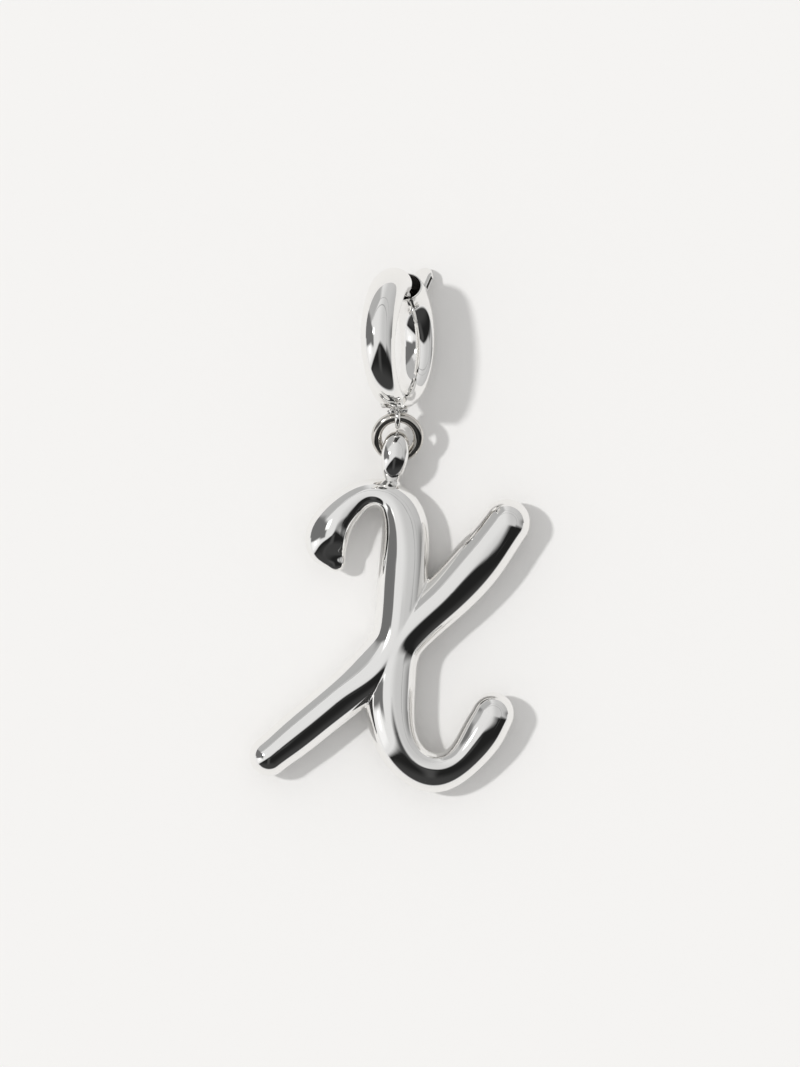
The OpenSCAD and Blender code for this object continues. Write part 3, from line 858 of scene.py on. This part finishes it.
tab = cut_away("tab", tab_solid(), [rod(*by_right_edge(GROOVE_OUT, GROOVE_FROM, GROOVE_TO), GROOVE_R)])
# painted shade: a near-black rod at the bottom of the nail groove
groove = rod(*by_right_edge(-SHADE_ROD_IN, GROOVE_FROM + SHADE_ROD_SHORT, GROOVE_TO - SHADE_ROD_SHORT), SHADE_ROD_R)

# %% [markdown]
# The body is its band with the two ears, the tab and the wire loop. The gate is its band with the knuckle
# between the ears and the peg. The near-black cup in the body's open end, painted shade in the hollow, is a
# piece of its own, as is the near-black rod of painted shade in the groove.

# %% The two halves of the clip ring
LOOP_THICK, LOOP_SNUG, LOOP_RINGS, LOOP_ROUND = 0.5, 0.09, 96, 40
PEG_RIM, SHARP_FROM = 0.1, math.radians(35)
ears = [at_hinge(KNUCKLE_R, slot_w / 2, hinge_w / 2), at_hinge(KNUCKLE_R, -hinge_w / 2, -slot_w / 2)]
body_points, body_faces = joined(body_cut, *ears, tab)
loop_mid_r = loop_hole_r - LOOP_SNUG + LOOP_THICK / 2
loop_points = torus_grid(loop_mid_r, LOOP_THICK, (1, 0, 0), LOOP_RINGS, LOOP_ROUND).reshape(-1, 3) + loop_at
loop_quads = grid_quads(LOOP_RINGS, LOOP_ROUND, True, True)
body_points, body_faces = joined((on_table(body_points), body_faces), (loop_points, loop_quads))
peg = rod(peg_to - PEG_DEPTH * peg_way, peg_to + (peg_l - PEG_DEPTH) * peg_way, PEG_R, rim=PEG_RIM)
gate_points, gate_faces = joined(gate_cut, at_hinge(KNUCKLE_R, -KNUCKLE_W / 2, KNUCKLE_W / 2), peg)
cup_points, cup_faces = hollow_shade_cup(BODY_END - BODY_ON, -1)
ring_body = piece_from("ring_body", body_points, body_faces, PENDANT, clip_silver, stands_for=("clip_body",))
ring_gate = piece_from("ring_gate", on_table(gate_points), gate_faces, GATE, clip_silver,
                       stands_for=("clip_gate",))
for half in (ring_body, ring_gate):
    half.data.set_sharp_from_angle(angle=SHARP_FROM)
# painted shade: near-black pieces in the body's hollow end and at the bottom of the tab's groove
piece_from("ring_hollow", on_table(cup_points), cup_faces, PENDANT, painted_shade_dark)
piece_from("tab_groove", on_table(groove[0]), groove[1], PENDANT, painted_shade_dark)
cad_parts["hinge_pin"].data.materials.clear()
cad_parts["hinge_pin"].data.materials.append(wire_silver)

# %% [markdown]
# The table is a plain pale surface. It is also most of what the lower half of the metal reflects.

# %% Table
TABLE_HALF = 1.5
table_mesh = bpy.data.meshes.new("table")
corners = [(i * TABLE_HALF, j * TABLE_HALF, 0) for i, j in ((-1, -1), (1, -1), (1, 1), (-1, 1))]
table_mesh.from_pydata(corners, [], [(0, 1, 2, 3)])
table = bpy.data.objects.new("table", table_mesh)
bpy.context.scene.collection.objects.link(table)
pale = bpy.data.materials.new("pale_table")
pale.use_nodes = True
pale_inputs = pale.node_tree.nodes["Principled BSDF"].inputs
pale_inputs["Base Color"].default_value = (0.86, 0.85, 0.835, 1)
pale_inputs["Roughness"].default_value = 0.7
pale_inputs["Specular IOR Level"].default_value = 0.2
table_mesh.materials.append(pale)
table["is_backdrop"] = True
print("table", 2 * TABLE_HALF, "m wide")

# %% [markdown]
# Silver shows the room, so the room is what lights it: a pale tent, dark cloth on the near side, a grey
# screen on the left with a low window under it, and a right side that falls off. The room is painted on the
# world as cards with straight, soft edges. A card's place is given on a flat sky map, where the distance
# from the middle is the angle from straight up in degrees, and each edge says how far out it lies and which
# way it faces. The camera itself sees a plain pale backdrop instead.

# %% The room's cards
ROOM_LEFT, ROOM_RIGHT, ROOM_FAR = 0.80, 0.60, 0.50
RIGHT_FALL, FAR_FALL = (-12, 26), (30, 90)
TABLE_LIGHT, BACKDROP, LEAST_FLAT = 0.69, 0.85, 0.0001
CARDS = [  # name, brightness, then edges: way the card lies from the edge in degrees, distance, softness
    ("right_low", 0.22, [(0, 70, 16), (90, -14, 14), (270, -16, 12)]),
    ("upper_left_low", 0.46, [(132, 51, 2), (200, -14, 8), (64, -18, 8)]),
    ("screen_foot", 0.28, [(157, 62, 5), (240, 0, 4), (75, 0, 4)]),
    ("screen", 0.17, [(180, 35, 3), (232, 14, 3), (90, -13, 4), (0, -90, 5)]),
    ("window", 0.98, [(199, 50, 4), (282, -2, 4), (122, 2, 4), (19, -82, 5)]),
    ("window_core", 1.5, [(197, 60, 3), (107, -5, 3), (287, -5, 3), (17, -69, 3)]),
    ("key", 2.2, [(180, 30, 3), (0, -40, 3), (90, 6, 3), (270, -14, 3)]),
    ("cloth_hem", 0.15, [(338, 44, 5), (68, -8, 6), (248, -8, 6)]),
    ("cloth", 0.016, [(303, 5, 3), (251, 3, 4), (270, 4, 7)]),
    ("cloth_low", 0.05, [(303, 12, 6), (244, 10, 6), (270, 46, 14)]),
    ("cloth_fold", 0.07, [(264, 12, 5), (354, -7, 6), (174, -7, 6), (84, -52, 8)]),
    ("seam", 0.28, [(60, 5, 8)]),
    ("seam_far", 0.4, [(70, 15, 8)]),
    ("horizon", 0.86, [(270, 0, 1)]),
]
BELTS = {  # angle from the zenith where it starts, softness, width
    "horizon": (85, 4, 400), "seam": (48.4, 0.5, 1.3), "seam_far": (60.5, 0.4, 1.0)}


def build_room():
    """World brightness from direction: u and v are the angle from the zenith times the compass direction, and
    a card's mask is the product of smooth steps of u cos(way) + v sin(way) over its edges' distances."""
    world = bpy.data.worlds.new("room")
    bpy.context.scene.world = world
    world.use_nodes = True
    nodes, links = world.node_tree.nodes, world.node_tree.links
    background = nodes["Background"]
    place = nodes.new("ShaderNodeTexCoord")
    split = nodes.new("ShaderNodeSeparateXYZ")
    links.new(place.outputs["Generated"], split.inputs[0])

    def calc(operation, *values):
        node = nodes.new("ShaderNodeMath")
        node.operation = operation
        for socket, value in zip(node.inputs, values):
            if isinstance(value, (int, float)):
                socket.default_value = value
            else:
                links.new(value, socket)
        return node.outputs[0]

    def soft(value, low, high):
        node = nodes.new("ShaderNodeMapRange")
        node.interpolation_type = "SMOOTHSTEP"
        node.inputs["From Min"].default_value, node.inputs["From Max"].default_value = low, high
        links.new(value, node.inputs["Value"])
        return node.outputs["Result"]

    def over(mask, top, below):
        """The lower layer, covered by the upper one where the mask is 1."""
        return calc("ADD", calc("MULTIPLY", mask, top), calc("MULTIPLY", calc("SUBTRACT", 1.0, mask), below))

    x, y, z = split.outputs["X"], split.outputs["Y"], split.outputs["Z"]
    zenith = calc("DEGREES", calc("ARCCOSINE", z))
    flat = calc("SQRT", calc("ADD", calc("MULTIPLY", x, x), calc("MULTIPLY", y, y)))
    flat = calc("MAXIMUM", flat, LEAST_FLAT)
    u = calc("DIVIDE", calc("MULTIPLY", zenith, x), flat)
    v = calc("DIVIDE", calc("MULTIPLY", zenith, y), flat)
    light = over(soft(u, *FAR_FALL), ROOM_FAR, over(soft(u, *RIGHT_FALL), ROOM_RIGHT, ROOM_LEFT))
    for name, value, edges in CARDS:
        mask = None
        if name in BELTS:
            start, blur, width = BELTS[name]
            mask = calc("MULTIPLY", soft(zenith, start - blur, start + blur),
                        calc("SUBTRACT", 1.0, soft(zenith, start + width - blur, start + width + blur)))
        for way, distance, softness in edges:
            way = math.radians(way)
            reach = calc("ADD", calc("MULTIPLY", u, math.cos(way)), calc("MULTIPLY", v, math.sin(way)))
            edge = soft(reach, distance - softness, distance + softness)
            mask = edge if mask is None else calc("MULTIPLY", mask, edge)
        light = over(mask, value, light)
    path = nodes.new("ShaderNodeLightPath")
    light = over(path.outputs["Is Diffuse Ray"], TABLE_LIGHT, light)
    links.new(over(path.outputs["Is Camera Ray"], BACKDROP, light), background.inputs["Color"])


build_room()
print("room of", len(CARDS), "cards")

# %% The lamp that casts the shadows
LAMP_AZIMUTH, LAMP_ELEVATION, LAMP_SPREAD = math.radians(165), math.radians(54), math.radians(4)
LAMP_STRENGTH, LAMP_AWAY = 1.45, 0.5
lamp_data = bpy.data.lights.new("lamp", "SUN")
lamp_data.energy = LAMP_STRENGTH
lamp_data.angle = LAMP_SPREAD
lamp = bpy.data.objects.new("lamp", lamp_data)
lamp_way = Vector((math.cos(LAMP_AZIMUTH) * math.cos(LAMP_ELEVATION),
                   math.sin(LAMP_AZIMUTH) * math.cos(LAMP_ELEVATION), math.sin(LAMP_ELEVATION)))
lamp.rotation_euler = lamp_way.to_track_quat("Z", "Y").to_euler()
lamp.location = lamp_way * LAMP_AWAY
bpy.context.scene.collection.objects.link(lamp)
print("lamp from", [round(v, 2) for v in lamp_way])

# %% Sizes and finish
look_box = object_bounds()
for title, box in (("look", look_box), ("CAD", cad_box)):
    print(title, "box", [[round(c / MM, 2) for c in corner] for corner in box], "mm")
